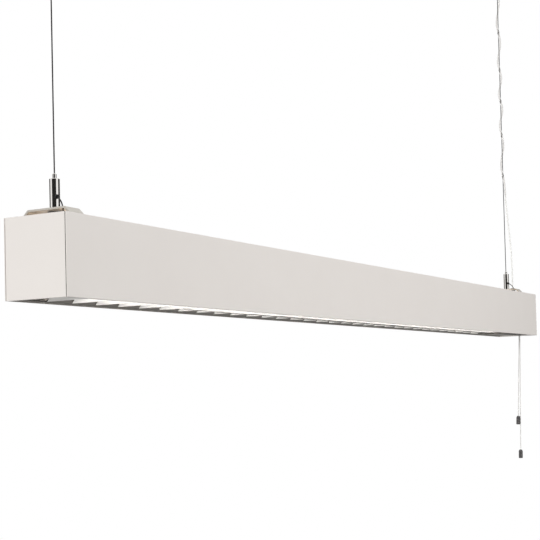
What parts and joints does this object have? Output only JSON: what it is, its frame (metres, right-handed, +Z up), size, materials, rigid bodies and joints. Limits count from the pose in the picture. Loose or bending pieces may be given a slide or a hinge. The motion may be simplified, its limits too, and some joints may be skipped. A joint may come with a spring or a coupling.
{
  "type": "office pendant light",
  "caption": "Slim white linear pendant light on steel wires with cable grippers, up and down lamps in an open-topped housing, a cross-blade louvre and pull cords.",
  "frame": {"origin": "on the ceiling, midway between the two fixing holes of the ceiling fittings", "axes": "+X along the housing to its switch end, +Y to the back, away from the pull cords, +Z up"},
  "size_m": [1.5, 0.08, 1.0121],
  "materials": {
    "white_profile": "matt white powder coat",
    "white_steel": "satin white paint",
    "dark_plate": "satin dark grey paint",
    "warm_zinc": "passivated zinc, slightly warm",
    "bright_chrome": "polished",
    "zinc_steel": "bright zinc",
    "wire_rope": "stranded steel",
    "black_wire": "blackened end",
    "black_plastic": "matt",
    "clear_pvc": "clear",
    "white_plastic": "satin",
    "white_blade": "matt white paint",
    "dark_reflector": "dark satin anodised",
    "spring_steel": "plain",
    "lamp_glass": "phosphor coated",
    "lamp_cap": "plain",
    "lamp_pin": "plain",
    "pull_cord": "braided",
    "dark_plastic": "satin"
  },
  "bodies": {
    "ceiling": {"left_ceiling_base": "zinc_steel", "left_ceiling_cup": "bright_chrome", "canopy_base": "zinc_steel", "canopy_cover": "white_steel", "canopy_screws": "zinc_steel", "canopy_terminal_block": "white_plastic", "cable_strain_relief": "white_plastic"},
    "suspension": {"left_wire": "wire_rope", "right_wire": "wire_rope", "left_wire_end": "zinc_steel", "right_wire_end": "zinc_steel", "power_cable": "clear_pvc"},
    "luminaire": {"housing_profile": "white_profile", "left_end_cap": "white_profile", "right_end_cap": "white_profile", "left_bracket": "warm_zinc", "right_bracket": "warm_zinc", "gripper_nuts": "zinc_steel", "left_gripper_body": "bright_chrome", "right_gripper_body": "bright_chrome", "left_exit_bush": "black_plastic", "right_exit_bush": "black_plastic", "left_wire_tail": "black_wire", "right_wire_tail": "black_wire", "cable_grommet": "black_plastic", "mains_terminal_block": "white_plastic", "ballast": "white_steel", "ballast_screws": "zinc_steel", "lower_lampholders": "white_plastic", "upper_lampholders": "white_plastic", "left_end_strip": "dark_plate", "switch_plate": "dark_plate", "pull_switch_body": "white_plastic", "short_pull_bush": "black_plastic", "long_pull_bush": "black_plastic"},
    "lower_lamp": {"lower_lamp_tube": "lamp_glass", "lower_lamp_caps": "lamp_cap", "lower_lamp_pins": "lamp_pin", "lower_lamp_rotors": "white_plastic"},
    "upper_lamp": {"upper_lamp_tube": "lamp_glass", "upper_lamp_caps": "lamp_cap", "upper_lamp_pins": "lamp_pin", "upper_lamp_rotors": "white_plastic"},
    "louvre": {"louvre_front_reflector": "dark_reflector", "louvre_back_reflector": "dark_reflector", "louvre_blades": "white_blade", "louvre_end_plates": "white_blade", "louvre_clips": "spring_steel"},
    "left_release": {"left_gripper_plunger": "bright_chrome"},
    "right_release": {"right_gripper_plunger": "bright_chrome"},
    "short_pull": {"short_pull_cord": "pull_cord", "short_pull_grip": "dark_plastic"},
    "long_pull": {"long_pull_cord": "pull_cord", "long_pull_grip": "dark_plastic"}
  },
  "joints": [
    {"name": "swing", "type": "hinge", "parent": "ceiling", "child": "suspension", "pos_m": [0, 0, -0.03], "axis": [1, 0, 0], "range_deg": [-15, 15]},
    {"name": "height", "type": "slide", "parent": "suspension", "child": "luminaire", "axis": [0, 0, 1], "range_m": [0, 0.3], "deforming": ["left_wire", "right_wire", "power_cable"]},
    {"name": "left_release", "type": "slide", "parent": "luminaire", "child": "left_release", "axis": [0, 0, -1], "range_m": [0, 0.0025], "stiffness_N_per_m": 1500},
    {"name": "right_release", "type": "slide", "parent": "luminaire", "child": "right_release", "axis": [0, 0, -1], "range_m": [0, 0.0025], "stiffness_N_per_m": 1500},
    {"name": "short_pull", "type": "slide", "parent": "luminaire", "child": "short_pull", "axis": [0, 0, -1], "range_m": [0, 0.01], "stiffness_N_per_m": 800},
    {"name": "long_pull", "type": "slide", "parent": "luminaire", "child": "long_pull", "axis": [0, 0, -1], "range_m": [0, 0.01], "stiffness_N_per_m": 800},
    {"name": "lower_lamp_twist", "type": "hinge", "parent": "luminaire", "child": "lower_lamp", "pos_m": [0, 0, -0.7319], "axis": [1, 0, 0], "range_deg": [0, 90]},
    {"name": "upper_lamp_twist", "type": "hinge", "parent": "luminaire", "child": "upper_lamp", "pos_m": [0, 0.017, -0.7037], "axis": [1, 0, 0], "range_deg": [0, 90]},
    {"name": "louvre_drop", "type": "slide", "parent": "luminaire", "child": "louvre", "axis": [0, 0, -1], "range_m": [0, 0.06]}
  ]
}
